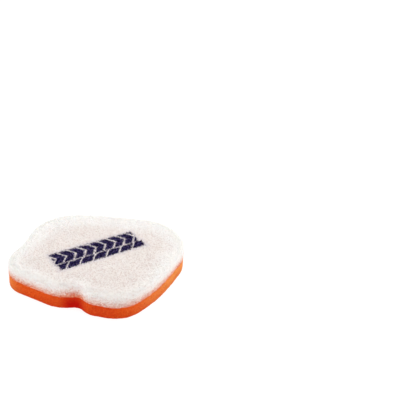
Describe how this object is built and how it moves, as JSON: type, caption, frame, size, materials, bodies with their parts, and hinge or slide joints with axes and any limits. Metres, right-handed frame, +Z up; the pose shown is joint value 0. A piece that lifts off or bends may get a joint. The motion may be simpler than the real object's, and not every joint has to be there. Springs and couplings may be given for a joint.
{
  "type": "two-stage foam air filter panel",
  "caption": "Flat two-stage foam air filter for a small off-road motorcycle: coarse outer foam bonded to fine inner foam, cut to one lobed, notched outline.",
  "frame": {"origin": "centre of the bounding box on the underside, which is the face that seats on the airbox", "axes": "+X along the panel's length, from the small lobe to the large lobe; +Y across it, away from the notch; +Z up through the thickness, from the fine inner foam to the coarse outer foam"},
  "size_m": [0.1766, 0.1386, 0.028],
  "materials": {
    "fine_foam": "matte",
    "adhesive": "satin",
    "coarse_foam": "matte"
  },
  "bodies": {
    "root": {"fine_inner_foam": "fine_foam", "adhesive_bond": "adhesive", "coarse_outer_foam": "coarse_foam"}
  },
  "joints": []
}
